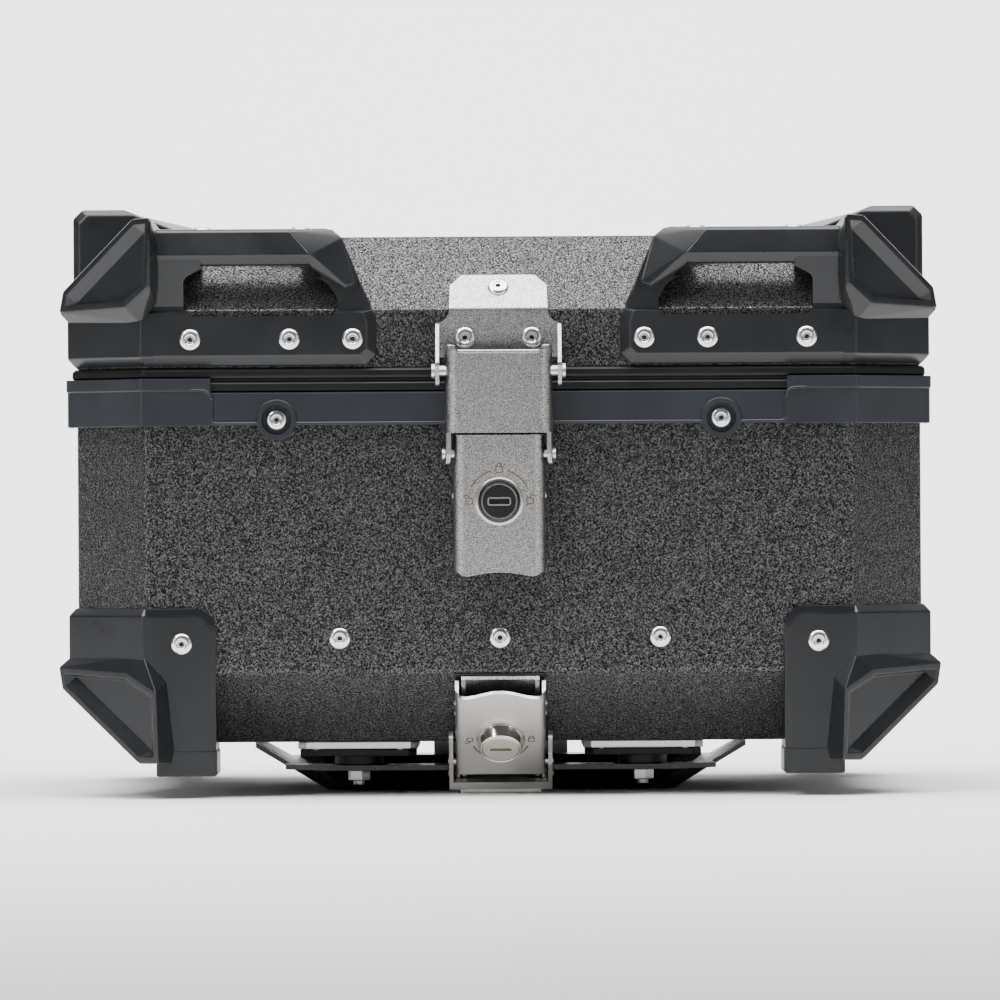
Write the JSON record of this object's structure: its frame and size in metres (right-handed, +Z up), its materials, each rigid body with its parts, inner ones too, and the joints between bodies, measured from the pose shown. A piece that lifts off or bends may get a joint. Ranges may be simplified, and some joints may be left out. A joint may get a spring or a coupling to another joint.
{
  "type": "motorcycle top case",
  "caption": "Aluminium motorcycle top case with a hinged lid, moulded corner guards with grips, a locking hasp and a lever lock that claws it to a rack plate.",
  "frame": {"origin": "centre of the flat underside of the base plate's dish, which lies on the rack", "axes": "+Z up, +X to the right seen from the front, the front with the locks faces -Y"},
  "size_m": [0.443, 0.3581, 0.2982],
  "materials": {
    "hammer_coat": "pebbled charcoal powder coat",
    "black_abs": "grained black moulding",
    "stainless": "bead-blasted stainless",
    "rivet_aluminium": "bright",
    "pad_aluminium": "mill",
    "rubber": "matte",
    "plate_steel": "black satin",
    "zinc": "zinc plated",
    "lock_black": "gloss",
    "lock_nickel": "satin nickel",
    "mat_foam": "soft foam"
  },
  "bodies": {
    "case": {"body_shell": "hammer_coat", "rim_frame": "black_abs", "lower_guard_front_left": "black_abs", "lower_guard_front_right": "black_abs", "lower_guard_rear_left": "black_abs", "lower_guard_rear_right": "black_abs", "catch_plate": "stainless", "base_lock_frame": "stainless", "base_lever_pin": "stainless", "seam_rivet_left": "rivet_aluminium", "seam_rivet_middle": "rivet_aluminium", "seam_rivet_right": "rivet_aluminium", "guard_rivet_left": "rivet_aluminium", "guard_rivet_right": "rivet_aluminium", "rim_rivet_left": "rivet_aluminium", "rim_rivet_right": "rivet_aluminium", "damper_pad_front_left": "pad_aluminium", "damper_pad_front_right": "pad_aluminium", "damper_pad_rear_left": "pad_aluminium", "damper_pad_rear_right": "pad_aluminium", "lid_seal": "rubber", "base_lock_gasket": "rubber", "damper_block_front_left": "rubber", "damper_block_front_right": "rubber", "damper_block_rear_left": "rubber", "damper_block_rear_right": "rubber", "base_plate": "plate_steel", "rear_hook": "zinc", "hinge_leaf_body": "zinc", "hinge_pin": "zinc", "mount_stud_front_left": "zinc", "mount_stud_front_right": "zinc", "mount_stud_rear_left": "zinc", "mount_stud_rear_right": "zinc", "floor_mat": "mat_foam"},
    "lid": {"lid_shell": "hammer_coat", "handle_guard_left": "black_abs", "handle_guard_right": "black_abs", "lid_guard_rear_left": "black_abs", "lid_guard_rear_right": "black_abs", "hasp_bracket": "stainless", "hasp_pin": "stainless", "hinge_leaf_lid": "zinc", "hasp_rivet_left": "rivet_aluminium", "hasp_rivet_right": "rivet_aluminium", "hasp_rivet_top": "rivet_aluminium"},
    "hasp_link": {"hasp_link": "stainless", "cover_pin": "stainless"},
    "lock_cover": {"lock_cover": "stainless", "lock_barrel": "lock_black", "lock_washer": "stainless", "lock_nut": "zinc"},
    "lock_plug": {"lock_plug": "lock_black", "lock_cam": "zinc"},
    "base_lever": {"base_lever": "stainless", "base_lock_barrel": "lock_nickel"},
    "base_plug": {"base_lock_plug": "lock_nickel", "base_lock_cam": "zinc"},
    "base_claw": {"base_claw": "stainless"}
  },
  "joints": [
    {"name": "lid_hinge", "type": "hinge", "parent": "case", "child": "lid", "pos_m": [0, 0.17, 0.21145], "axis": [-1, 0, 0], "range_deg": [0, 95]},
    {"name": "hasp_swing", "type": "hinge", "parent": "lid", "child": "hasp_link", "pos_m": [0, -0.176, 0.2091], "axis": [-1, 0, 0], "range_deg": [0, 70]},
    {"name": "cover_swing", "type": "hinge", "parent": "hasp_link", "child": "lock_cover", "pos_m": [0, -0.1745, 0.1684], "axis": [-1, 0, 0], "range_deg": [0, 100]},
    {"name": "lock_turn", "type": "hinge", "parent": "lock_cover", "child": "lock_plug", "pos_m": [0, -0.1796, 0.1451], "axis": [0, 1, 0], "range_deg": [0, 90]},
    {"name": "base_lever_swing", "type": "hinge", "parent": "case", "child": "base_lever", "pos_m": [0, -0.11323, 0.01113], "axis": [1, 0, 0], "range_deg": [0, 100]},
    {"name": "claw_follow", "type": "hinge", "parent": "base_lever", "child": "base_claw", "pos_m": [0, -0.12052, 0.01646], "axis": [1, 0, 0], "range_deg": [-100, 0]},
    {"name": "base_lock_turn", "type": "hinge", "parent": "base_lever", "child": "base_plug", "pos_m": [0, -0.1398, 0.02739], "axis": [0, -0.6596, -0.7516], "range_deg": [0, 90]}
  ],
  "couplings": [
    {"joint": "claw_follow", "follows": "base_lever_swing", "ratio": -1}
  ]
}
